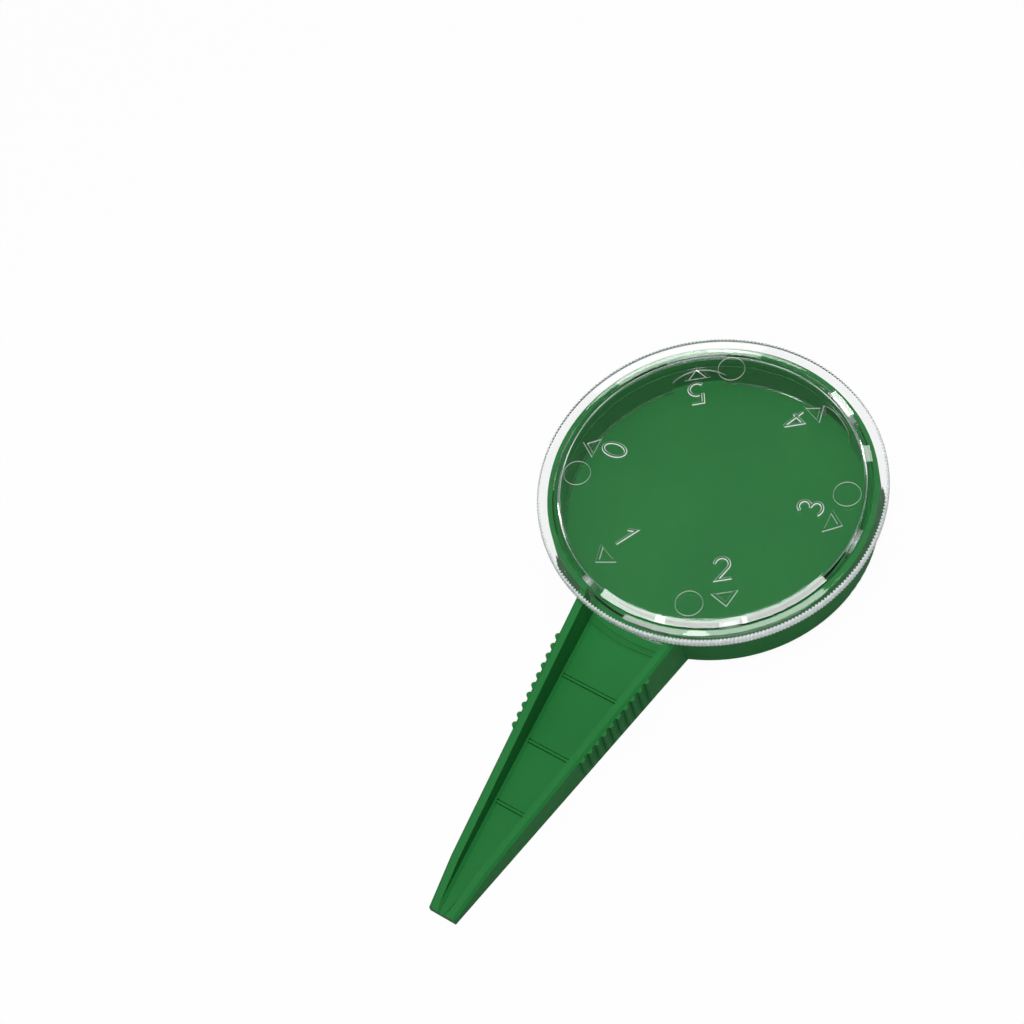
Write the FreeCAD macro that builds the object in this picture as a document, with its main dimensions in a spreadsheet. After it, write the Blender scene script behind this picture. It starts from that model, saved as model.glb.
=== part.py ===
import FreeCAD, Part
import os
import re
import Sketcher

# Dial seed sower: a moulded tray with a round hopper cup and a tapering chute, and a clear
# dial lid that turns in the cup. Millimetres. +Z is up, the tray lies on Z = 0, the dial
# turns about the Z axis, and the chute points along +X.

SIZES = [
    # Hopper cup of the tray
    ("cup_rim_radius", 31.5),
    ("cup_base_radius", 31.1),
    ("cup_height", 10.1),
    ("cup_rim_wall", 1.2),
    ("cup_base_wall", 0.9),
    ("floor_thickness", 1.6),
    ("cup_inner_fillet", 0.5),
    ("cup_outer_fillet", 1.0),
    # Chute of the tray, seen from above and from the side
    ("chute_root_place", 33.5),
    ("chute_kink_place", 85.0),
    ("chute_tip_place", 95.0),
    ("chute_root_half_width", 10.55),
    ("chute_tip_half_width", 2.85),
    ("chute_root_height", 9.3),
    ("chute_kink_height", 4.4),
    ("chute_tip_height", 1.9),
    ("chute_wall", 1.8),
    ("chute_edge_bevel", 0.5),
    ("chute_floor_corner", 0.6),
    # Low bars across the chute floor, each standing in a shallow groove
    ("bar_one_place", 43.6),
    ("bar_two_place", 58.2),
    ("bar_three_place", 71.4),
    ("bar_width", 0.45),
    ("bar_height", 0.15),
    ("bar_groove_width", 0.95),
    ("bar_groove_depth", 0.35),
    ("bar_groove_notch", 0.3),
    # Curved sills on the chute floor just outside the cup
    ("sill_first_radius", 31.0),
    ("sill_pitch", 1.25),
    ("sill_width", 0.5),
    ("sill_height", 0.15),
    # Upright grip ribs on the outside of both chute walls
    ("grip_first_place", 39.5),
    ("grip_pitch", 2.08),
    ("grip_radius", 0.6),
    ("grip_foot_height", 1.6),
    # Dial lid
    ("lid_radius", 33.5),
    ("lid_rim_height", 2.1),
    ("lid_rim_clearance", 0.3),
    ("rim_fall", 0.15),
    ("shoulder_width", 1.45),
    ("crown_rise", 0.5),
    ("window_radius", 29.2),
    ("window_thickness", 1.2),
    ("skirt_wall", 1.1),
    ("skirt_clearance", 0.3),
    ("skirt_floor_clearance", 0.35),
    # Snap bead of the skirt and its groove in the cup wall
    ("bead_place", 7.6),
    ("bead_width", 0.8),
    ("bead_reach", 0.25),
    ("bead_end_clearance", 0.4),
    # Seed gates in the skirt, one for each setting
    ("dial_zero_angle", -82.0),
    ("dial_step_angle", 60.0),
    ("gate_height", 5.35),
    ("gate_rise_share", 0.22),
    ("gate_one_width", 2.6),
    ("gate_two_width", 4.0),
    ("gate_three_width", 5.6),
    ("gate_four_width", 8.2),
    ("gate_five_width", 10.6),
]
BARS = ["one", "two", "three"]
SILL_COUNT = 2
GRIP_COUNT = 10
GATES = ["one", "two", "three", "four", "five"]
CUTTING_FEATURES = ("PartDesign::Pocket", "PartDesign::Groove", "PartDesign::SubtractiveLoft")
SMALLEST_CHANGE = 0.01
# How far the middle of a quarter round lies from either flank, as a share of its radius
ARC_SHARE = 0.293

# Derived places, as expressions of the sheet
CHUTE_TAPER = (
    "((chute_root_half_width - chute_tip_half_width) / (chute_tip_place - chute_root_place))"
)
CHUTE_FALL = "((chute_root_height - chute_kink_height) / (chute_kink_place - chute_root_place))"
CUP_INNER_RIM = "(cup_rim_radius - cup_rim_wall)"
CUP_INNER_BASE = "(cup_base_radius - cup_base_wall)"
CUP_INNER_DRAFT = f"(({CUP_INNER_RIM} - {CUP_INNER_BASE}) / (cup_height - floor_thickness))"
CUP_OUTER_DRAFT = "((cup_rim_radius - cup_base_radius) / cup_height)"
CHUTE_START = f"({CUP_INNER_BASE} * 0.8)"
SKIRT_BOTTOM = "(floor_thickness + skirt_floor_clearance)"
RIM_BOTTOM = "(cup_height + lid_rim_clearance)"
RIM_TOP = f"({RIM_BOTTOM} + lid_rim_height)"
LID_TOP = f"({RIM_TOP} + rim_fall + crown_rise)"
CUT_TOP = "(cup_height + cup_rim_wall)"
BEAD_LOW = "(bead_place - bead_width / 2)"
BEAD_HIGH = "(bead_place + bead_width / 2)"


def in_sheet(text):
    """The same expression with every size read from the sheet."""
    return re.sub(r"\b([a-z]+_[a-z_]+)\b", r"Sizes.\1", text)


def half_width(place):
    """Outer half width of the chute at a place along X."""
    return f"(chute_root_half_width - ({place} - chute_root_place) * {CHUTE_TAPER})"


def wall_height(place):
    """Height of the chute walls at a place along X, up to the kink near the tip."""
    return f"(chute_root_height - ({place} - chute_root_place) * {CHUTE_FALL})"


def cup_inner_radius(height):
    """Inner radius of the cup wall at a height above the base."""
    return f"({CUP_INNER_BASE} + ({height} - floor_thickness) * {CUP_INNER_DRAFT})"


class Drawing:
    """Sketches and features of one body, with every size bound to the sheet."""

    def __init__(self, document, sheet, label):
        self.sheet = sheet
        self.body = document.addObject("PartDesign::Body", label)
        self.body.Label = label
        self.body.AllowCompound = True

    def value(self, text):
        return float(self.sheet.evalExpression(in_sheet(text)))

    def sketch(self, name, plane, shift="0", turn="0"):
        """A sketch on an origin plane, moved along its normal and turned about its own Y."""
        support = next(f for f in self.body.Origin.OriginFeatures if f.Role == plane)
        sketch = self.body.newObject("Sketcher::SketchObject", name)
        sketch.AttachmentSupport = [(support, "")]
        sketch.MapMode = "FlatFace"
        sketch.AttachmentOffset = FreeCAD.Placement(
            FreeCAD.Vector(0, 0, self.value(shift)),
            FreeCAD.Rotation(FreeCAD.Vector(0, 1, 0), self.value(turn)),
        )
        sketch.setExpression(".AttachmentOffset.Base.z", in_sheet(shift))
        if turn != "0":
            sketch.setExpression(".AttachmentOffset.Rotation.Angle", in_sheet(turn))
        return sketch

    def outline(self, sketch, corners, crowns=()):
        """A closed outline with every corner locked; a crown turns one edge into an arc.

        A crown is (edge number, top of the arc, height of its centre).
        """
        first = sketch.GeometryCount
        count = len(corners)
        points = [FreeCAD.Vector(self.value(x), self.value(y), 0) for x, y in corners]
        tops = {edge: top for edge, top, centre in crowns}
        edges = []
        for i, point in enumerate(points):
            following = points[(i + 1) % count]
            if i in tops:
                top = FreeCAD.Vector(self.value(tops[i][0]), self.value(tops[i][1]), 0)
                edges.append(Part.Arc(point, top, following))
            else:
                edges.append(Part.LineSegment(point, following))
        sketch.addGeometry(edges, False)
        for i in range(count):
            after = first + (i + 1) % count
            sketch.addConstraint(Sketcher.Constraint("Coincident", first + i, 2, after, 1))
        for i, (x, y) in enumerate(corners):
            self.lock(sketch, "DistanceX", first + i, 1, x)
            self.lock(sketch, "DistanceY", first + i, 1, y)
        for edge, top, centre in crowns:
            self.lock(sketch, "DistanceY", first + edge, 3, centre)

    def lock(self, sketch, kind, edge, end, text):
        """Holds one point of an edge at a distance from the sketch's origin."""
        constraint = Sketcher.Constraint(kind, -1, 1, edge, end, self.value(text))
        number = sketch.addConstraint(constraint)
        sketch.setExpression(f"Constraints[{number}]", in_sheet(text))

    def feature(self, kind, name, sketch):
        feature = self.body.newObject("PartDesign::" + kind, name)
        feature.Profile = sketch
        sketch.Visibility = False
        return feature

    def turned(self, kind, name, sketch):
        """A Revolution or Groove about the sketch's upright axis."""
        feature = self.feature(kind, name, sketch)
        feature.ReferenceAxis = (sketch, ["V_Axis"])
        feature.Angle = 360.0
        return feature

    def loft(self, kind, name, sketches):
        feature = self.feature(kind, name, sketches[0])
        feature.Sections = sketches[1:]
        feature.Ruled = True
        return feature


def grip_ribs(tray):
    """Bars across the chute whose round ends stand out of both walls as grip ribs."""
    sketch = tray.sketch("GripSketch", "XY_Plane", shift="grip_foot_height")
    for i in range(GRIP_COUNT):
        place = f"(grip_first_place + {i} * grip_pitch)"
        reach = half_width(place)
        corners = [
            (f"{place} + grip_radius", f"0 - {reach}"),
            (f"{place} + grip_radius", reach),
            (f"{place} - grip_radius", reach),
            (f"{place} - grip_radius", f"0 - {reach}"),
        ]
        crowns = [
            (1, (place, f"{reach} + grip_radius"), reach),
            (3, (place, f"0 - {reach} - grip_radius"), f"0 - {reach}"),
        ]
        tray.outline(sketch, corners, crowns)
    ribs = tray.feature("Pad", "GripRibs", sketch)
    ribs.setExpression("Length", in_sheet("cup_height - grip_foot_height"))

    # The ribs stop just below the bevel of the sloping wall tops
    start = "(grip_first_place - grip_pitch)"
    end = f"(grip_first_place + {GRIP_COUNT} * grip_pitch)"
    trim_sketch = tray.sketch("GripTrimSketch", "XZ_Plane")
    corners = [
        (start, f"{wall_height(start)} - chute_edge_bevel"),
        (end, f"{wall_height(end)} - chute_edge_bevel"),
        (end, CUT_TOP),
        (start, CUT_TOP),
    ]
    tray.outline(trim_sketch, corners)
    trim = tray.feature("Pocket", "GripTrim", trim_sketch)
    trim.Type = "ThroughAll"
    trim.Midplane = True


def chute_outside(tray):
    """Solid outer form of the chute, lofted from inside the cup to the kink and the tip."""
    stations = [
        (CHUTE_START, wall_height(CHUTE_START)),
        ("chute_kink_place", "chute_kink_height"),
        ("chute_tip_place", "chute_tip_height"),
    ]
    sections = []
    for i, (place, height) in enumerate(stations):
        reach = half_width(place)
        corners = [
            (f"0 - {reach}", "0"),
            (reach, "0"),
            (reach, f"{height} - chute_edge_bevel"),
            (f"{reach} - chute_edge_bevel", height),
            (f"chute_edge_bevel - {reach}", height),
            (f"0 - {reach}", f"{height} - chute_edge_bevel"),
        ]
        section = tray.sketch(f"ChuteSection{i + 1}", "YZ_Plane", shift=place)
        tray.outline(section, corners)
        sections.append(section)
    tray.loft("AdditiveLoft", "ChuteOutside", sections)


def cup(tray):
    """Round hopper cup with drafted walls, a rounded foot and a rounded inner corner."""
    outer_sketch = tray.sketch("CupOutsideSketch", "XZ_Plane")
    foot_side = f"(cup_base_radius + cup_outer_fillet * {CUP_OUTER_DRAFT})"
    corners = [
        ("0", "0"),
        ("cup_base_radius - cup_outer_fillet", "0"),
        (foot_side, "cup_outer_fillet"),
        ("cup_rim_radius", "cup_height"),
        ("0", "cup_height"),
    ]
    foot = (f"cup_base_radius - cup_outer_fillet * {ARC_SHARE}", f"cup_outer_fillet * {ARC_SHARE}")
    tray.outline(outer_sketch, corners, [(1, foot, "cup_outer_fillet")])
    tray.turned("Revolution", "CupOutside", outer_sketch)

    inner_sketch = tray.sketch("CupInsideSketch", "XZ_Plane")
    round_top = "(floor_thickness + cup_inner_fillet)"
    corners = [
        ("0", "floor_thickness"),
        (f"{CUP_INNER_BASE} - cup_inner_fillet", "floor_thickness"),
        (cup_inner_radius(round_top), round_top),
        (cup_inner_radius(CUT_TOP), CUT_TOP),
        ("0", CUT_TOP),
    ]
    corner = (
        f"{CUP_INNER_BASE} - cup_inner_fillet * {ARC_SHARE}",
        f"floor_thickness + cup_inner_fillet * {ARC_SHARE}",
    )
    tray.outline(inner_sketch, corners, [(1, corner, round_top)])
    tray.turned("Groove", "CupInside", inner_sketch)


def snap_groove(tray):
    """Shallow groove inside the cup wall, where the bead of the lid runs."""
    sketch = tray.sketch("SnapGrooveSketch", "XZ_Plane")
    low = f"({BEAD_LOW} - bead_end_clearance)"
    high = f"({BEAD_HIGH} + bead_end_clearance)"
    corners = [
        (f"{cup_inner_radius(low)} - bead_reach", low),
        (f"{cup_inner_radius(low)} + bead_reach", low),
        (f"{cup_inner_radius(high)} + bead_reach", high),
        (f"{cup_inner_radius(high)} - bead_reach", high),
    ]
    tray.outline(sketch, corners)
    tray.turned("Groove", "SnapGroove", sketch)


def chute_channel(tray):
    """Open channel of the chute, which also opens the cup wall at its mouth."""
    corner = "chute_floor_corner"
    sections = []
    for i, place in enumerate([CHUTE_START, "(chute_tip_place + chute_wall)"]):
        reach = f"({half_width(place)} - chute_wall)"
        corners = [
            (f"{corner} - {reach}", "floor_thickness"),
            (f"{reach} - {corner}", "floor_thickness"),
            (reach, f"floor_thickness + {corner}"),
            (reach, CUT_TOP),
            (f"0 - {reach}", CUT_TOP),
            (f"0 - {reach}", f"floor_thickness + {corner}"),
        ]
        section = tray.sketch(f"ChannelSection{i + 1}", "YZ_Plane", shift=place)
        tray.outline(section, corners)
        sections.append(section)
    tray.loft("SubtractiveLoft", "ChuteChannel", sections)


def across_floor(tray, name, shift, width, margin):
    """A sketch of one strip for each bar, across the floor up to a margin from the outer faces."""
    sketch = tray.sketch(name, "XY_Plane", shift=shift)
    for word in BARS:
        place = f"bar_{word}_place"
        reach = f"({half_width(place)} - {margin})"
        corners = [
            (f"{place} - {width} / 2", f"0 - {reach}"),
            (f"{place} + {width} / 2", f"0 - {reach}"),
            (f"{place} + {width} / 2", reach),
            (f"{place} - {width} / 2", reach),
        ]
        tray.outline(sketch, corners)
    return sketch


def floor_bars(tray):
    """Low bars across the chute floor, each standing in a groove that runs from wall to wall."""
    top = "(floor_thickness + bar_groove_notch)"
    sketch = across_floor(tray, "BarGrooveSketch", top, "bar_groove_width", "chute_wall")
    grooves = tray.feature("Pocket", "BarGrooves", sketch)
    grooves.Type = "Length"
    grooves.setExpression("Length", in_sheet("bar_groove_notch + bar_groove_depth"))

    low = "(floor_thickness / 2)"
    sketch = across_floor(tray, "FloorBarSketch", low, "bar_width", "(chute_wall / 2)")
    bars = tray.feature("Pad", "FloorBars", sketch)
    bars.setExpression("Length", in_sheet("floor_thickness / 2 + bar_height"))


def mouth_sills(tray):
    """Curved sills about the dial axis on the floor of the mouth, between the chute walls."""
    for i in range(SILL_COUNT):
        radius = f"(sill_first_radius + {i} * sill_pitch)"
        sketch = tray.sketch(f"SillSketch{i + 1}", "XZ_Plane")
        corners = [
            (radius, "floor_thickness / 2"),
            (f"{radius} + sill_width", "floor_thickness / 2"),
            (f"{radius} + sill_width", "floor_thickness + sill_height"),
            (radius, "floor_thickness + sill_height"),
        ]
        tray.outline(sketch, corners)
        sill = tray.turned("Revolution", f"MouthSill{i + 1}", sketch)
        sill.Midplane = True
        reach = f"({half_width(radius)} - chute_wall / 2)"
        sill.setExpression("Angle", in_sheet(f"2 * asin({reach} / {radius})"))


def build_tray(document, sheet):
    tray = Drawing(document, sheet, "seed_tray")
    grip_ribs(tray)
    chute_outside(tray)
    cup(tray)
    snap_groove(tray)
    chute_channel(tray)
    floor_bars(tray)
    mouth_sills(tray)
    return tray.body


def lid_shell(lid):
    """Raised window, sloping shoulder, overhanging rim, skirt and snap bead, in one piece."""
    skirt_top = f"({CUP_INNER_RIM} - skirt_clearance)"
    skirt_end = f"({cup_inner_radius(SKIRT_BOTTOM)} - skirt_clearance)"
    window_bottom = f"({LID_TOP} - window_thickness)"

    def skirt_outside(height):
        return f"({cup_inner_radius(height)} - skirt_clearance)"

    corners = [
        ("0", window_bottom),
        (f"{skirt_top} - skirt_wall", window_bottom),
        (f"{skirt_end} - skirt_wall", SKIRT_BOTTOM),
        (skirt_end, SKIRT_BOTTOM),
        (skirt_outside(BEAD_LOW), BEAD_LOW),
        (f"{skirt_outside('bead_place')} + bead_reach", "bead_place"),
        (skirt_outside(BEAD_HIGH), BEAD_HIGH),
        (skirt_outside(RIM_BOTTOM), RIM_BOTTOM),
        ("lid_radius", RIM_BOTTOM),
        ("lid_radius", RIM_TOP),
        ("window_radius + shoulder_width", f"{RIM_TOP} + rim_fall"),
        ("window_radius", LID_TOP),
        ("0", LID_TOP),
    ]
    sketch = lid.sketch("LidSketch", "XZ_Plane")
    lid.outline(sketch, corners)
    lid.turned("Revolution", "LidShell", sketch)


def seed_gates(lid):
    """Arched gates cut up from the lower edge of the skirt, wider for each setting."""
    for i, word in enumerate(GATES):
        width = f"gate_{word}_width"
        rise = f"({width} * gate_rise_share)"
        arc_radius = f"({width} * (0.25 + gate_rise_share ^ 2) / (2 * gate_rise_share))"
        side_top = f"({SKIRT_BOTTOM} + gate_height - {rise})"
        crown = f"({SKIRT_BOTTOM} + gate_height)"
        corners = [
            (f"0 - {width} / 2", "floor_thickness"),
            (f"{width} / 2", "floor_thickness"),
            (f"{width} / 2", side_top),
            (f"0 - {width} / 2", side_top),
        ]
        angle = f"dial_zero_angle + {i + 1} * dial_step_angle"
        sketch = lid.sketch(f"GateSketch{i + 1}", "YZ_Plane", turn=angle)
        lid.outline(sketch, corners, [(2, ("0", crown), f"{crown} - {arc_radius}")])
        gate = lid.feature("Pocket", f"Gate{i + 1}", sketch)
        gate.Type = "Length"
        gate.Reversed = True
        gate.setExpression("Length", in_sheet("cup_rim_radius"))


def build_lid(document, sheet):
    lid = Drawing(document, sheet, "dial_lid")
    lid_shell(lid)
    seed_gates(lid)
    return lid.body


def make_sheet(document):
    sheet = document.addObject("Spreadsheet::Sheet", "Sizes")
    for row, (alias, number) in enumerate(SIZES, start=1):
        sheet.set(f"A{row}", alias)
        sheet.set(f"B{row}", str(number))
        sheet.setAlias(f"B{row}", alias)
    return sheet


def check_model(document, bodies):
    """Stops on a failed object, an invalid shape or a feature that changes nothing."""
    for item in document.Objects:
        if "Invalid" in item.State or "Error" in item.State:
            raise RuntimeError(f"{item.Name} failed: {item.State}")
    for body in bodies:
        shape = body.Shape
        if shape.isNull() or not shape.isValid() or len(shape.Solids) != 1:
            raise RuntimeError(f"{body.Label} is not one valid solid")
        for feature in body.Group:
            base = getattr(feature, "BaseFeature", None)
            if base is None:
                continue
            change = feature.Shape.Volume - base.Shape.Volume
            if feature.TypeId in CUTTING_FEATURES:
                change = -change
            if change < SMALLEST_CHANGE:
                raise RuntimeError(f"{feature.Name} changes nothing")


def main():
    document = FreeCAD.newDocument("DialSeedSower")
    sheet = make_sheet(document)
    document.recompute()
    bodies = [build_tray(document, sheet), build_lid(document, sheet)]
    document.recompute()
    check_model(document, bodies)
    os.makedirs("parts", exist_ok=True)
    for body in bodies:
        body.Shape.exportStep(f"parts/{body.Label}.step")
        box = body.Shape.optimalBoundingBox(False)
        print(f"{body.Label}: {box.XLength:.2f} x {box.YLength:.2f} x {box.ZLength:.2f} mm,"
              f" {body.Shape.Volume:.0f} mm3")


main()
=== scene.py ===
import math

import bmesh
import bpy
from mathutils import Matrix, Vector


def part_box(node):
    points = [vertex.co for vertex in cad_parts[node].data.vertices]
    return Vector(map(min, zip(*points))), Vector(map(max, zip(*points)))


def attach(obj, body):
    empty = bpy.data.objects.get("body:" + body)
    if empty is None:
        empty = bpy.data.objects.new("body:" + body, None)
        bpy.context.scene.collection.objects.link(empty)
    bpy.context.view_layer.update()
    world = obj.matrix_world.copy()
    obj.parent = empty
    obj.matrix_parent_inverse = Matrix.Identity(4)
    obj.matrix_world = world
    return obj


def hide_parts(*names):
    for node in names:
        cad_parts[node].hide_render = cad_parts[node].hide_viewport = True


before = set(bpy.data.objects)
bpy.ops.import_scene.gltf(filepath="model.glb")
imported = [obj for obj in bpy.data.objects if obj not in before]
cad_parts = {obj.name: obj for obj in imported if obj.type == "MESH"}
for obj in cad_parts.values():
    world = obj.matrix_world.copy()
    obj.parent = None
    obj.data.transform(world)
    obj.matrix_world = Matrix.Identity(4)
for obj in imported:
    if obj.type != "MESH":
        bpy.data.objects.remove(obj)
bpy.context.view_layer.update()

# Sizes of the lid are in millimetres and angles in degrees, about the dial's axis
MM = 0.001

# Dial lid
LID_LOW, LID_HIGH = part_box("dial_lid")
LID_TOP = LID_HIGH.z / MM
LID_RADIUS = LID_HIGH.x / MM
SKIRT_BOTTOM = LID_LOW.z / MM
RIM_CLEARANCE = 0.3
RIM_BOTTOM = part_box("seed_tray")[1].z / MM + RIM_CLEARANCE
WINDOW_RADIUS = 29.2
WINDOW_THICKNESS = 1.2
SHOULDER_WIDTH = 1.7
SHOULDER_DROP = 0.57
FLANGE_SLOPE = 0.079
SKIRT_TOP_RADIUS = 30.0
SKIRT_END_RADIUS = 29.91
SKIRT_WALL = 0.8
SKIRT_LIP = 0.1
SKIRT_LIP_HEIGHT = 0.18
BEAD_PLACE = 7.6
BEAD_WIDTH = 0.8
BEAD_REACH = 0.25

# Rounded edges of the lid, and the narrow strip beside each that keeps its shading off the faces
EDGE_ROUND = 0.18
EDGE_HOLD = 0.1
WINDOW_EDGE_MIDDLE_DROP = 0.03
WINDOW_EDGE_DROP = 0.1
SHOULDER_FOOT_RISE = 0.06
SHOULDER_FOOT_FALL = 0.01
FLANGE_START_FALL = 0.02

# Knurled edge of the rim
KNURL_TEETH = 288
KNURL_DEPTH = 0.4
KNURL_SIDE_DEPTH = 0.22
KNURL_CREST = 0.28
KNURL_CREST_DROP = 0.12
KNURL_BEVEL_DROP = 0.5
KNURL_FOOT = 0.3
KNURL_MARGIN = 0.57

# Where the shoulder and the flange lie
SHOULDER_RADIUS = WINDOW_RADIUS + SHOULDER_WIDTH
SHOULDER_FOOT = LID_TOP - SHOULDER_DROP
FLANGE_START = SHOULDER_RADIUS + EDGE_ROUND + EDGE_HOLD
FLANGE_START_HEIGHT = SHOULDER_FOOT - FLANGE_START_FALL
FLANGE_END = LID_RADIUS - KNURL_CREST - KNURL_DEPTH - KNURL_MARGIN
FLANGE_END_HEIGHT = FLANGE_START_HEIGHT - (FLANGE_END - FLANGE_START) * FLANGE_SLOPE

# Settings round the dial and the gates in its skirt, from 1 to 5
DIAL_ZERO_ANGLE = -82.0
DIAL_STEP_ANGLE = 60.0
GATE_WIDTHS = [2.6, 4.0, 5.6, 8.2, 10.6]
GATE_HEIGHT = 5.35
GATE_RISE_SHARE = 0.22
GATE_ARC_STEPS = 16
# How far a gate's cutter passes the skirt on each side
GATE_CUT_INSIDE = 3.0
GATE_CUT_OUTSIDE = 0.6
GATE_CUT_BELOW = 1.0

# Raised marks on the window
MARK_HEIGHT = 0.17
MARK_SINK = 0.1
MARK_FLANK = 0.23
MITRE_LIMIT = 0.35
STROKE_WIDTH = 0.32
DIGIT_HEIGHT = 4.6
DIGIT_WIDTH = 2.8
# Angle and radius of the middle of each number, 0 to 5
DIGIT_PLACES = [
    (-83.6, 20.45), (-24.5, 19.23), (38.6, 18.69),
    (102.6, 19.77), (160.2, 20.63), (-140.6, 20.61),
]
ARROW_BASE_RADIUS = 23.8
ARROW_TIP_RADIUS = 27.0
ARROW_WIDTH = 5.3
ARROW_STROKE = 0.5
ARROW_FLANK = 0.16
ARROW_HAIRLINE_GAP = 1.2
HAIRLINE = 0.04
HAIRLINE_FLANK = 0.06
EJECTOR_COUNT = 4
EJECTOR_FIRST_ANGLE = -157.1
EJECTOR_PLACE = 25.9
EJECTOR_RADIUS = 2.6
OVAL_POINTS = 36
RING_POINTS = 72

# Material slots of the lid's shell, and of the marks
CLEAR, KNURLED, CUT = 0, 1, 2
MARKED, FAINT = 1, 2
# A face of the marks is flat, and not a flank, from this upright share of its normal
FLAT_FACE_NORMAL = 0.9
SMOOTH_ANGLE = 20


# ---------------------------------------------------------------- mesh helpers
def new_object(name, mesh_data, materials):
    obj = bpy.data.objects.new(name, mesh_data)
    bpy.context.scene.collection.objects.link(obj)
    for material in materials:
        mesh_data.materials.append(material)
    return obj


def mesh_from(name, build):
    """A mesh, in metres, from a function that fills a bmesh in millimetres."""
    bm = bmesh.new()
    build(bm)
    bmesh.ops.recalc_face_normals(bm, faces=bm.faces)
    bmesh.ops.scale(bm, vec=(MM, MM, MM), verts=bm.verts)
    mesh = bpy.data.meshes.new(name)
    bm.to_mesh(mesh)
    bm.free()
    return mesh


def turned_shape(bm, profile, segments):
    """Turns a profile of (radius, height, cut) about Z. The end points lie on the axis.

    The cut is what every other segment takes off the radius at that point.
    """
    rings = []
    for radius, height, cut in profile:
        if radius == 0:
            rings.append([bm.verts.new((0, 0, height))])
            continue
        ring = []
        for i in range(segments):
            angle = math.tau * i / segments
            r = radius - (0 if i % 2 else cut)
            ring.append(bm.verts.new((r * math.cos(angle), r * math.sin(angle), height)))
        rings.append(ring)
    for low, high in zip(rings, rings[1:]):
        for i in range(segments):
            j = (i + 1) % segments
            if len(low) == 1:
                bm.faces.new((low[0], high[i], high[j]))
            elif len(high) == 1:
                bm.faces.new((low[j], low[i], high[0]))
            else:
                bm.faces.new((low[i], high[i], high[j], low[j]))


def prism(bm, outline, low, high):
    """A closed upright prism over a flat outline."""
    bottom = [bm.verts.new((x, y, low)) for x, y in outline]
    top = [bm.verts.new((x, y, high)) for x, y in outline]
    count = len(outline)
    bm.faces.new(list(reversed(bottom)))
    bm.faces.new(top)
    for i in range(count):
        j = (i + 1) % count
        bm.faces.new((bottom[i], bottom[j], top[j], top[i]))


def ribbon(bm, path, width, flank, low, high, closed=False, end_cut=None):
    """A stroke along a path, as a closed solid whose foot is wider than its top by a flank.

    Its ends are cut square, or along the direction of end_cut.
    """
    count = len(path)
    sides = []
    for i, point in enumerate(path):
        before = path[i - 1] if i or closed else None
        after = path[(i + 1) % count] if i < count - 1 or closed else None
        along_in = (point - before).normalized() if before else (after - point).normalized()
        along_out = (after - point).normalized() if after else along_in
        mitre = (along_in + along_out).normalized()
        side = Vector((-mitre.y, mitre.x))
        if end_cut and not (before and after):
            side = end_cut * math.copysign(1, end_cut.dot(side))
        stretch = max(MITRE_LIMIT, side.dot(Vector((-along_in.y, along_in.x))))
        sides.append(side / stretch)
    foot, top = width / 2 + flank, width / 2
    rows = []
    for reach, height in ((foot, low), (-foot, low), (-top, high), (top, high)):
        points = [point + side * reach for point, side in zip(path, sides)]
        rows.append([bm.verts.new((p.x, p.y, height)) for p in points])
    spans = count if closed else count - 1
    for row, next_row in zip(rows, rows[1:] + rows[:1]):
        for i in range(spans):
            j = (i + 1) % count
            bm.faces.new((row[i], row[j], next_row[j], next_row[i]))
    if not closed:
        bm.faces.new([row[0] for row in reversed(rows)])
        bm.faces.new([row[-1] for row in rows])


def arc_points(centre, radius_x, radius_y, start, end, steps):
    """Points of an arc of an ellipse, with both of its ends."""
    points = []
    for i in range(steps + 1):
        angle = math.radians(start + (end - start) * i / steps)
        offset = Vector((radius_x * math.cos(angle), radius_y * math.sin(angle)))
        points.append(centre + offset)
    return points


def oval_points(radius_x, radius_y, count):
    """Points of a whole ellipse about the origin, without the first one again at its end."""
    return arc_points(Vector((0, 0)), radius_x, radius_y, 0, 360 - 360 / count, count - 1)


def boolean(target, tool, operation):
    modifier = target.modifiers.new(tool.name, "BOOLEAN")
    modifier.operation = operation
    modifier.solver = "EXACT"
    modifier.use_self = operation == "UNION"
    modifier.material_mode = "TRANSFER"
    modifier.object = tool


def settle_modifiers(obj, tools):
    """Applies the modifiers of an object and removes the tools they used."""
    graph = bpy.context.evaluated_depsgraph_get()
    mesh = bpy.data.meshes.new_from_object(obj.evaluated_get(graph))
    obj.modifiers.clear()
    obj.data = mesh
    for tool in tools:
        bpy.data.objects.remove(tool)


def smooth_by_angle(obj, degrees):
    """Smooth shading with sharp edges kept where two faces meet at more than an angle."""
    bm = bmesh.new()
    bm.from_mesh(obj.data)
    limit = math.radians(degrees)
    for face in bm.faces:
        face.smooth = True
    for edge in bm.edges:
        edge.smooth = edge.is_manifold and edge.calc_face_angle(math.pi) < limit
    bm.to_mesh(obj.data)
    bm.free()


# ---------------------------------------------------------------- node helpers
def node_material(name):
    material = bpy.data.materials.new(name)
    material.use_nodes = True
    tree = material.node_tree
    return material, tree, tree.nodes["Principled BSDF"]


def grey(level):
    return (level, level, level, 1)


def noise(tree, scale, detail):
    coordinates = tree.nodes.new("ShaderNodeTexCoord")
    texture = tree.nodes.new("ShaderNodeTexNoise")
    texture.inputs["Scale"].default_value = scale
    texture.inputs["Detail"].default_value = detail
    tree.links.new(coordinates.outputs["Object"], texture.inputs["Vector"])
    return texture.outputs["Fac"]


def ramp(tree, source, low, high, start=0.3, end=0.7):
    """Spreads a value between two greys or two colours."""
    node = tree.nodes.new("ShaderNodeValToRGB")
    node.color_ramp.elements[0].position = start
    node.color_ramp.elements[1].position = end
    node.color_ramp.elements[0].color = low
    node.color_ramp.elements[1].color = high
    tree.links.new(source, node.inputs["Fac"])
    return node.outputs["Color"]


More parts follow.
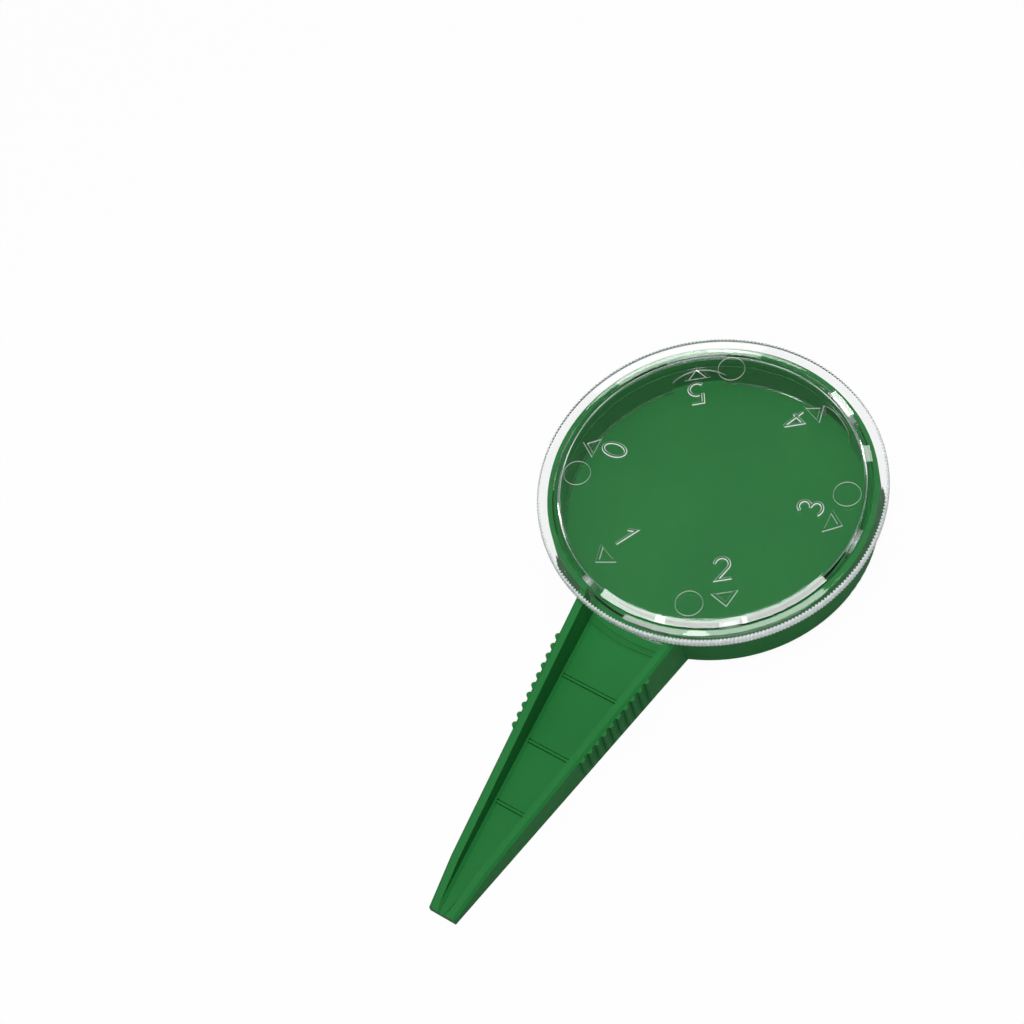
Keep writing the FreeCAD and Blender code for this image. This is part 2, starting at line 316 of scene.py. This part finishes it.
def bump(tree, shader, source, strength, distance):
    node = tree.nodes.new("ShaderNodeBump")
    node.inputs["Strength"].default_value = strength
    node.inputs["Distance"].default_value = distance
    tree.links.new(source, node.inputs["Height"])
    tree.links.new(node.outputs["Normal"], shader.inputs["Normal"])


def scatter(shader, depth):
    """Light that enters nearby faces comes out here too."""
    shader.inputs["Subsurface Weight"].default_value = 1
    shader.inputs["Subsurface Radius"].default_value = (1, 1, 1)
    shader.inputs["Subsurface Scale"].default_value = depth


def mixed(tree, share, first, second):
    """A mix of two shaders. The share of the second is a number or the socket that gives it."""
    mix = tree.nodes.new("ShaderNodeMixShader")
    if isinstance(share, float):
        mix.inputs["Fac"].default_value = share
    else:
        tree.links.new(share, mix.inputs["Fac"])
    tree.links.new(first, mix.inputs[1])
    tree.links.new(second, mix.inputs[2])
    return mix.outputs[0]


# ---------------------------------------------------------------- materials
TRAY_DARKER = (0.018, 0.178, 0.041, 1)
TRAY_LIGHTER = (0.022, 0.202, 0.047, 1)
TRAY_IOR = 1.49
TRAY_SPECULAR = 0.06
LID_TINT = (0.985, 1.0, 0.992, 1)
KNURL_LIGHT_BAND_TINT = (0.84, 0.95, 1.0, 1)
MARK_HIGHLIGHT_TINT = (0.95, 1.0, 0.96, 1)
CUT_GLOW_TINT = (0.9, 0.98, 0.97, 1)
LID_IOR = 1.55
# Shares of the lamps' light that the lid lets through: square on, edge-on, and where it is frosted
SHADOW_CLEAR = 0.97
SHADOW_EDGE = 0.8
SHADOW_FROSTED = 0.4


def tray_plastic():
    """Moulded green plastic: even colour with faint flow marks and a fine satin skin."""
    material, tree, shader = node_material("tray_green_plastic")
    colour = ramp(tree, noise(tree, scale=45, detail=3), TRAY_DARKER, TRAY_LIGHTER)
    tree.links.new(colour, shader.inputs["Base Color"])
    sheen = ramp(tree, noise(tree, scale=260, detail=4), grey(0.36), grey(0.46))
    tree.links.new(sheen, shader.inputs["Roughness"])
    bump(tree, shader, noise(tree, scale=2600, detail=3), strength=0.12, distance=0.00004)
    shader.inputs["IOR"].default_value = TRAY_IOR
    shader.inputs["Specular IOR Level"].default_value = TRAY_SPECULAR
    return material


def light_through(tree, shader, square_on, edge_on):
    """Lets a share of the lamps' light through, less where the surface is edge-on to it."""
    facing = tree.nodes.new("ShaderNodeLayerWeight")
    facing.inputs["Blend"].default_value = 0.5
    through = tree.nodes.new("ShaderNodeBsdfTransparent")
    shade = ramp(tree, facing.outputs["Facing"], grey(square_on), grey(edge_on), start=0.2, end=0.9)
    tree.links.new(shade, through.inputs["Color"])
    path = tree.nodes.new("ShaderNodeLightPath")
    lit = mixed(tree, path.outputs["Is Shadow Ray"], shader.outputs[0], through.outputs[0])
    output = next(node for node in tree.nodes if node.type == "OUTPUT_MATERIAL")
    tree.links.new(lit, output.inputs["Surface"])


def clear_plastic(name, tint, transmission, roughness, scale, shadow=(SHADOW_CLEAR, SHADOW_EDGE)):
    """Moulded plastic of the lid, whose roughness varies between two values over the surface."""
    material, tree, shader = node_material(name)
    shader.inputs["Base Color"].default_value = tint
    shader.inputs["Transmission Weight"].default_value = transmission
    shader.inputs["IOR"].default_value = LID_IOR
    low, high = roughness
    polish = ramp(tree, noise(tree, scale, detail=3), grey(low), grey(high))
    tree.links.new(polish, shader.inputs["Roughness"])
    light_through(tree, shader, *shadow)
    return material, tree, shader


def lid_plastic():
    """Polished faces of the lid, with very faint waviness."""
    material, tree, shader = clear_plastic("lid_clear_plastic", LID_TINT, 1, (0.01, 0.03), scale=300)
    bump(tree, shader, noise(tree, scale=90, detail=2), strength=0.05, distance=0.0001)
    return material


def knurl_plastic():
    """The fine teeth of the rim, rough, and painted an opaque near white with a blue tinge for the bright
    band of light in the clear teeth.
    """
    shadow = (SHADOW_FROSTED, SHADOW_FROSTED)
    material, tree, shader = clear_plastic("lid_knurl_light_band", KNURL_LIGHT_BAND_TINT, 0, (0.3, 0.45), 700, shadow)
    scatter(shader, depth=0.002)
    return material


def mark_plastic():
    """Flanks of the numbers and ejector rings, in a pale scattering plastic that paints their highlights as
    thin white lines.
    """
    material, tree, shader = clear_plastic("lid_mark_highlight_edge", MARK_HIGHLIGHT_TINT, 0.05, (0.15, 0.3), scale=900)
    scatter(shader, depth=0.0005)
    return material


def faint_highlight_plastic():
    """Flanks of the arrows, in a paler plastic than the lid's that paints their faint highlights as pale
    lines.
    """
    return clear_plastic("lid_faint_mark_highlight", MARK_HIGHLIGHT_TINT, 0.3, (0.15, 0.3), scale=900)[0]


def gate_plastic():
    """Cut faces of the gates and the skirt's lip, a little less polished than the skirt. Their pale, half
    clear plastic paints the glow of light along the lip and the gates' edges.
    """
    return clear_plastic("lid_gate_edge_glow", CUT_GLOW_TINT, 0.6, (0.15, 0.3), scale=900)[0]


# ---------------------------------------------------------------- shell of the lid
def top_outline():
    """Radius and height from the axis over the window, down the shoulder and over the flange."""
    shoulder_start = WINDOW_RADIUS + EDGE_ROUND
    shoulder_end = SHOULDER_RADIUS - EDGE_ROUND
    start_height = LID_TOP - WINDOW_EDGE_DROP
    end_height = SHOULDER_FOOT + SHOULDER_FOOT_RISE
    slope = (start_height - end_height) / (shoulder_end - shoulder_start)
    return [
        (0, LID_TOP),
        (WINDOW_RADIUS - EDGE_ROUND - EDGE_HOLD, LID_TOP),
        (WINDOW_RADIUS - EDGE_ROUND, LID_TOP),
        (WINDOW_RADIUS, LID_TOP - WINDOW_EDGE_MIDDLE_DROP),
        (shoulder_start, start_height),
        (shoulder_start + EDGE_HOLD, start_height - EDGE_HOLD * slope),
        (shoulder_end - EDGE_HOLD, end_height + EDGE_HOLD * slope),
        (shoulder_end, end_height),
        (SHOULDER_RADIUS + EDGE_ROUND, SHOULDER_FOOT - SHOULDER_FOOT_FALL),
        (FLANGE_START, FLANGE_START_HEIGHT),
        (FLANGE_END - EDGE_HOLD, FLANGE_END_HEIGHT + EDGE_HOLD * FLANGE_SLOPE),
        (FLANGE_END, FLANGE_END_HEIGHT),
    ]


def knurl_outline():
    """Radius, height and depth of the valleys, down the knurled edge."""
    return [
        (LID_RADIUS - KNURL_CREST, FLANGE_END_HEIGHT - KNURL_CREST_DROP, KNURL_DEPTH),
        (LID_RADIUS, FLANGE_END_HEIGHT - KNURL_BEVEL_DROP, KNURL_SIDE_DEPTH),
        (LID_RADIUS, RIM_BOTTOM + KNURL_FOOT, KNURL_SIDE_DEPTH),
        (LID_RADIUS - KNURL_FOOT, RIM_BOTTOM, 0),
    ]


def skirt_radius(height):
    """Outer radius of the skirt, which narrows a little towards its lower edge."""
    draft = (SKIRT_TOP_RADIUS - SKIRT_END_RADIUS) / (RIM_BOTTOM - SKIRT_BOTTOM)
    return SKIRT_END_RADIUS + (height - SKIRT_BOTTOM) * draft


def skirt_outline():
    """Radius and height from under the rim, down the skirt and up inside it to the axis."""
    window_bottom = LID_TOP - WINDOW_THICKNESS
    inner_top = skirt_radius(window_bottom) - SKIRT_WALL
    bead_low, bead_high = BEAD_PLACE - BEAD_WIDTH / 2, BEAD_PLACE + BEAD_WIDTH / 2
    return [
        (LID_RADIUS - KNURL_DEPTH - KNURL_MARGIN, RIM_BOTTOM),
        (skirt_radius(RIM_BOTTOM) + EDGE_ROUND, RIM_BOTTOM),
        (skirt_radius(RIM_BOTTOM - EDGE_ROUND), RIM_BOTTOM - EDGE_ROUND),
        (skirt_radius(bead_high), bead_high),
        (skirt_radius(BEAD_PLACE) + BEAD_REACH, BEAD_PLACE),
        (skirt_radius(bead_low), bead_low),
        (SKIRT_END_RADIUS - SKIRT_LIP, SKIRT_BOTTOM + SKIRT_LIP_HEIGHT),
        (SKIRT_END_RADIUS, SKIRT_BOTTOM),
        (SKIRT_END_RADIUS - SKIRT_WALL, SKIRT_BOTTOM),
        (inner_top, window_bottom - EDGE_ROUND * 2),
        (inner_top - EDGE_ROUND, window_bottom - EDGE_ROUND / 2),
        (inner_top - EDGE_ROUND * 2, window_bottom),
        (inner_top - EDGE_ROUND * 2 - EDGE_HOLD, window_bottom),
        (0, window_bottom),
    ]


def lid_profile():
    """Outline of the lid as (radius, height, depth of the knurl's valleys)."""
    top = [(*point, 0) for point in top_outline()]
    skirt = [(*point, 0) for point in skirt_outline()]
    return top + knurl_outline() + skirt


def build_lid_shell(bm):
    """The lid without its gates and marks, with its teeth and its lip in slots of their own."""
    turned_shape(bm, lid_profile(), KNURL_TEETH * 2)
    teeth_start = LID_RADIUS - KNURL_CREST / 2 - KNURL_DEPTH
    for face in bm.faces:
        middle = face.calc_center_median()
        # The teeth take the near-white plastic that paints the bright band of light in them
        if middle.xy.length > teeth_start and middle.z > RIM_BOTTOM + KNURL_FOOT:
            face.material_index = KNURLED
        # The lip takes the pale cut plastic, which paints the glow of light along the skirt's lower edge
        on_lip = SKIRT_BOTTOM < middle.z < SKIRT_BOTTOM + SKIRT_LIP_HEIGHT
        if on_lip and middle.xy.length > SKIRT_END_RADIUS - SKIRT_LIP:
            face.material_index = CUT


# ---------------------------------------------------------------- gates
def build_gate_cutter(bm, width, angle):
    """An arched bar that cuts one gate out of the skirt, from inside to outside."""
    foot = SKIRT_BOTTOM - GATE_CUT_BELOW
    crown = SKIRT_BOTTOM + GATE_HEIGHT
    rise = width * GATE_RISE_SHARE
    radius = (width ** 2 / 4 + rise ** 2) / (2 * rise)
    half = math.degrees(math.asin(width / 2 / radius))
    centre = Vector((0, crown - radius))
    outline = [Vector((-width / 2, foot)), Vector((width / 2, foot))]
    outline += arc_points(centre, radius, radius, 90 - half, 90 + half, GATE_ARC_STEPS)
    first = len(bm.verts)
    prism(bm, outline, SKIRT_END_RADIUS - GATE_CUT_INSIDE, SKIRT_TOP_RADIUS + GATE_CUT_OUTSIDE)
    bm.verts.ensure_lookup_table()
    # The prism's own axes: across the gate, up, outwards; turned to stand at its angle
    stand = Matrix(((0, 0, 1, 0), (1, 0, 0, 0), (0, 1, 0, 0), (0, 0, 0, 1)))
    turn = Matrix.Rotation(math.radians(angle), 4, "Z")
    bmesh.ops.transform(bm, matrix=turn @ stand, verts=bm.verts[first:])


def build_gates(bm):
    """One gate at each setting from 1 up. The place at 0 has none."""
    for i, width in enumerate(GATE_WIDTHS):
        build_gate_cutter(bm, width, DIAL_ZERO_ANGLE + (i + 1) * DIAL_STEP_ANGLE)


# ---------------------------------------------------------------- raised marks
def digit_strokes(number):
    """Strokes of a plain numeral, centred on the origin, upright along +Y, and if they close."""
    half_width, half_height = DIGIT_WIDTH / 2, DIGIT_HEIGHT / 2

    def at(across, up):
        """A point given as shares of the numeral's half width and half height."""
        return Vector((half_width * across, half_height * up))

    if number == 0:
        return [(oval_points(half_width, half_height, OVAL_POINTS), True)]
    if number == 1:
        return [([at(-0.75, 0.5), at(0.1, 1), at(0.1, -1)], False)]
    if number == 2:
        bowl_centre = Vector((0, half_height - half_width))
        bowl = arc_points(bowl_centre, half_width, half_width, 165, -35, 16)
        return [(bowl + [at(-1, -1), at(1, -1)], False)]
    if number == 3:
        upper = arc_points(at(0, 0.5), half_width * 0.85, half_height * 0.5, 150, -90, 14)
        lower = arc_points(at(0, -0.5), half_width, half_height * 0.5, 90, -150, 16)
        return [(upper, False), (lower, False)]
    if number == 4:
        stem = [at(0.45, 1), at(0.45, -1)]
        arm = [at(0.35, 1), at(-1, -0.35), at(1, -0.35)]
        return [(stem, False), (arm, False)]
    flag = [at(0.85, 1), at(-0.75, 1), at(-0.85, 0.1)]
    bowl_centre = Vector((-half_width * 0.1, -half_height + half_width))
    bowl = arc_points(bowl_centre, half_width * 1.05, half_width, 105, -140, 18)
    return [(flag, False), (bowl, False)]


def arrow_strokes():
    """A chevron whose tip points outwards, with a hairline across its open side."""
    half_height = (ARROW_TIP_RADIUS - ARROW_BASE_RADIUS) / 2
    lean = math.atan2(ARROW_WIDTH / 2, half_height * 2)
    reach = (ARROW_STROKE / 2 + ARROW_FLANK) / math.cos(lean)
    tip = Vector((0, reach / math.tan(lean) - half_height))
    corner = Vector((ARROW_WIDTH / 2 - reach, half_height))
    chevron = [Vector((-corner.x, corner.y)), tip, corner]
    line_end = corner.x - reach * ARROW_HAIRLINE_GAP
    line_height = half_height - HAIRLINE_FLANK
    hairline = [Vector((-line_end, line_height)), Vector((line_end, line_height))]
    return [
        (chevron, ARROW_STROKE, ARROW_FLANK, False, Vector((1, 0))),
        (hairline, HAIRLINE, HAIRLINE_FLANK, False, None),
    ]


def on_dial(bm, angle, radius, strokes, slot):
    """Raises strokes drawn at the origin on the window, their top towards the dial's centre.

    A stroke is (path, width, flank, closed, end cut), and its faces take the given slot.
    """
    low, high = LID_TOP - MARK_SINK, LID_TOP + MARK_HEIGHT
    first, first_face = len(bm.verts), len(bm.faces)
    for path, width, flank, closed, end_cut in strokes:
        ribbon(bm, path, width, flank, low, high, closed, end_cut)
    bm.verts.ensure_lookup_table()
    bm.faces.ensure_lookup_table()
    for face in bm.faces[first_face:]:
        face.material_index = slot
    turn = Matrix.Rotation(math.radians(angle + 90), 4, "Z")
    outwards = Vector((math.cos(math.radians(angle)), math.sin(math.radians(angle)), 0))
    move = Matrix.Translation(outwards * radius)
    bmesh.ops.transform(bm, matrix=move @ turn, verts=bm.verts[first:])


def build_marks(bm):
    """Numbers, arrows, and the fine rings that ejector pins leave in the moulding."""
    arrow_radius = (ARROW_BASE_RADIUS + ARROW_TIP_RADIUS) / 2
    for number, (angle, radius) in enumerate(DIGIT_PLACES):
        arrow_angle = DIAL_ZERO_ANGLE + number * DIAL_STEP_ANGLE
        on_dial(bm, arrow_angle, arrow_radius, arrow_strokes(), FAINT)
        strokes = [(path, STROKE_WIDTH, MARK_FLANK, closed, None) for path, closed in digit_strokes(number)]
        on_dial(bm, angle, radius, strokes, MARKED)
    ring = oval_points(EJECTOR_RADIUS, EJECTOR_RADIUS, RING_POINTS)
    for i in range(EJECTOR_COUNT):
        angle = EJECTOR_FIRST_ANGLE + 360 / EJECTOR_COUNT * i
        on_dial(bm, angle, EJECTOR_PLACE, [(ring, HAIRLINE, HAIRLINE_FLANK, True, None)], MARKED)


# ---------------------------------------------------------------- pieces
def make_lid():
    clear, knurled, cut = lid_plastic(), knurl_plastic(), gate_plastic()
    marked, faint = mark_plastic(), faint_highlight_plastic()
    shell = mesh_from("dial_lid_clear", build_lid_shell)
    lid = new_object("dial_lid_clear", shell, [clear, knurled, cut])
    gates = new_object("gate_cutter", mesh_from("gate_cutter", build_gates), [cut])
    marks = new_object("dial_marks", mesh_from("dial_marks", build_marks), [clear, marked, faint])
    # Flat tops of the marks stay clear; their flanks keep the pale plastic that paints the highlight lines
    for face in marks.data.polygons:
        if abs(face.normal.z) >= FLAT_FACE_NORMAL:
            face.material_index = CLEAR
    boolean(lid, gates, "DIFFERENCE")
    boolean(lid, marks, "UNION")
    settle_modifiers(lid, [gates, marks])
    smooth_by_angle(lid, SMOOTH_ANGLE)
    # Diffuse light reaches the tray as if the lid weren't there, as through thin clear plastic
    lid.visible_diffuse = False
    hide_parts("dial_lid")
    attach(lid, "dial")


def dress_tray():
    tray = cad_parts["seed_tray"]
    tray.data.materials.clear()
    tray.data.materials.append(tray_plastic())


# ---------------------------------------------------------------- studio
# The camera looks at a point on the floor; its distance is in metres, and its lens in millimetres
CAMERA_TARGET = Vector((17.892, -36.491, 0)) * MM
CAMERA_AZIMUTH = 49.468
CAMERA_ELEVATION = 57.847
CAMERA_ROLL = -18.265
CAMERA_DISTANCE = 0.5669
CAMERA_LENS = 101.881
CAMERA_CLIP_END = 20
FLOOR_REACH = 3.0
# Brightness of the world and of the floor where they light the object
LIGHTING_WORLD = 0.4
FLOOR_GREY = 0.5
# Reflections see a dim ceiling, which fades to white from this height down to the horizon
CEILING = 0.12
CEILING_EDGE = 0.35
# The camera sees the floor mostly as its own glow, and the rest as lit, which keeps the shadow
FLOOR_WHITE = 0.9
FLOOR_GLOW = 0.94


def direction(azimuth, elevation):
    around, up = math.radians(azimuth), math.radians(elevation)
    return Vector((math.cos(around) * math.cos(up), math.sin(around) * math.cos(up), math.sin(up)))


def make_camera():
    data = bpy.data.cameras.new("camera")
    data.lens = CAMERA_LENS
    data.clip_end = CAMERA_CLIP_END
    camera = bpy.data.objects.new("camera", data)
    bpy.context.scene.collection.objects.link(camera)
    back = direction(CAMERA_AZIMUTH, CAMERA_ELEVATION)
    side = Vector((0, 0, 1)).cross(back).normalized()
    lift = back.cross(side)
    roll = math.radians(CAMERA_ROLL)
    right = side * math.cos(roll) + lift * math.sin(roll)
    up = back.cross(right)
    turn = Matrix((right, up, back)).transposed().to_4x4()
    camera.matrix_world = Matrix.Translation(CAMERA_TARGET + back * CAMERA_DISTANCE) @ turn
    bpy.context.scene.camera = camera


def softbox(name, start, end, width, height, radiance, lighting=False):
    """A strip light between two places, each given as its offset from overhead at unit height.

    It lights the object without a highlight of its own, or only gives a highlight. Its width and
    its height above the floor are in metres.
    """
    start, end = Vector((*start, 1)) * height, Vector((*end, 1)) * height
    middle, along = (start + end) / 2, end - start
    away = middle.normalized()
    long_side = (along - away * along.dot(away)).normalized()
    data = bpy.data.lights.new(name, "AREA")
    data.shape = "RECTANGLE"
    data.size = along.length
    data.size_y = width
    data.energy = radiance * math.pi * along.length * width
    lamp = bpy.data.objects.new(name, data)
    bpy.context.scene.collection.objects.link(lamp)
    turn = Matrix((long_side, away.cross(long_side), away)).transposed().to_4x4()
    lamp.matrix_world = Matrix.Translation(middle) @ turn
    lamp.visible_camera = False
    lamp.visible_glossy = not lighting
    lamp.visible_diffuse = lighting


def make_lamps():
    """One lamp that lights the object, and strips that the polished lid mirrors."""
    softbox("key", (0.0, 0.1), (0.2, 0.12), width=0.2, height=1.0, radiance=51, lighting=True)
    # White band along the near half of the shoulder
    softbox("strip_left", (0.24, -0.52), (0.26, -0.20), width=0.12, height=1.0, radiance=13)
    softbox("strip_near", (0.26, -0.22), (0.08, 0.11), width=0.12, height=1.0, radiance=13)
    softbox("strip_right", (0.09, 0.10), (-0.24, 0.29), width=0.12, height=1.0, radiance=12)
    # Pale veil over the flange
    softbox("veil_left", (-0.18, -0.38), (-0.20, -0.25), width=0.09, height=1.0, radiance=8)
    softbox("veil_near", (-0.185, -0.275), (-0.36, -0.15), width=0.09, height=1.0, radiance=8)
    softbox("veil_far", (-0.78, -0.52), (-0.58, -0.74), width=0.12, height=1.0, radiance=3)
    # Short highlights on the far and the right side of the lid
    softbox("low_back", (-2.05, -1.1), (-1.4, -1.95), width=0.25, height=0.6, radiance=5)
    softbox("low_side", (-1.58, -0.30), (-1.42, -0.15), width=0.11, height=0.6, radiance=14)
    softbox("low_right", (-1.12, 0.06), (-1.03, 0.12), width=0.06, height=0.6, radiance=8)


def seen_rays(tree, reflections):
    """1 for rays from the camera or through a clear body, and from reflections if asked, else 0."""
    path = tree.nodes.new("ShaderNodeLightPath")
    seen = path.outputs["Is Camera Ray"]
    kinds = ["Is Transmission Ray"] + (["Is Glossy Ray"] if reflections else [])
    for kind in kinds:
        either = tree.nodes.new("ShaderNodeMath")
        either.operation = "MAXIMUM"
        tree.links.new(seen, either.inputs[0])
        tree.links.new(path.outputs[kind], either.inputs[1])
        seen = either.outputs[0]
    return seen


def reflected_sky(tree):
    """White at the horizon and below it, and a dimmer ceiling overhead."""
    coordinates = tree.nodes.new("ShaderNodeTexCoord")
    height = tree.nodes.new("ShaderNodeSeparateXYZ")
    tree.links.new(coordinates.outputs["Generated"], height.inputs[0])
    return ramp(tree, height.outputs["Z"], grey(1), grey(CEILING), start=0.0, end=CEILING_EDGE)


def background(tree, strength):
    node = tree.nodes.new("ShaderNodeBackground")
    node.inputs["Strength"].default_value = strength
    return node


def make_world():
    """White where the camera sees it, a sky with a ceiling in reflections, and a plain light."""
    world = bpy.data.worlds.new("studio")
    world.use_nodes = True
    bpy.context.scene.world = world
    tree = world.node_tree
    tree.nodes.clear()
    lighting = background(tree, LIGHTING_WORLD)
    reflected = background(tree, 1.0)
    shown = background(tree, 1.0)
    tree.links.new(reflected_sky(tree), reflected.inputs["Color"])
    path = tree.nodes.new("ShaderNodeLightPath")
    seen = mixed(tree, path.outputs["Is Camera Ray"], reflected.outputs[0], shown.outputs[0])
    whole = mixed(tree, seen_rays(tree, True), lighting.outputs[0], seen)
    output = tree.nodes.new("ShaderNodeOutputWorld")
    tree.links.new(whole, output.inputs["Surface"])


def diffuse(tree, level):
    node = tree.nodes.new("ShaderNodeBsdfDiffuse")
    node.inputs["Color"].default_value = grey(level)
    return node.outputs[0]


def make_floor():
    """A floor that looks white and keeps a faint shadow, and lights the object as a mid grey."""
    mesh = bpy.data.meshes.new("floor")
    corners = [(-1, -1), (1, -1), (1, 1), (-1, 1)]
    mesh.from_pydata([(x * FLOOR_REACH, y * FLOOR_REACH, 0) for x, y in corners], [], [(0, 1, 2, 3)])
    material = bpy.data.materials.new("floor_white")
    material.use_nodes = True
    tree = material.node_tree
    tree.nodes.clear()
    glow = tree.nodes.new("ShaderNodeEmission")
    shown = mixed(tree, FLOOR_GLOW, diffuse(tree, FLOOR_WHITE), glow.outputs[0])
    whole = mixed(tree, seen_rays(tree, False), diffuse(tree, FLOOR_GREY), shown)
    output = tree.nodes.new("ShaderNodeOutputMaterial")
    tree.links.new(whole, output.inputs["Surface"])
    new_object("floor", mesh, [material])


dress_tray()
make_lid()
make_camera()
make_world()
make_floor()
make_lamps()
bpy.context.scene.view_settings.view_transform = "Standard"
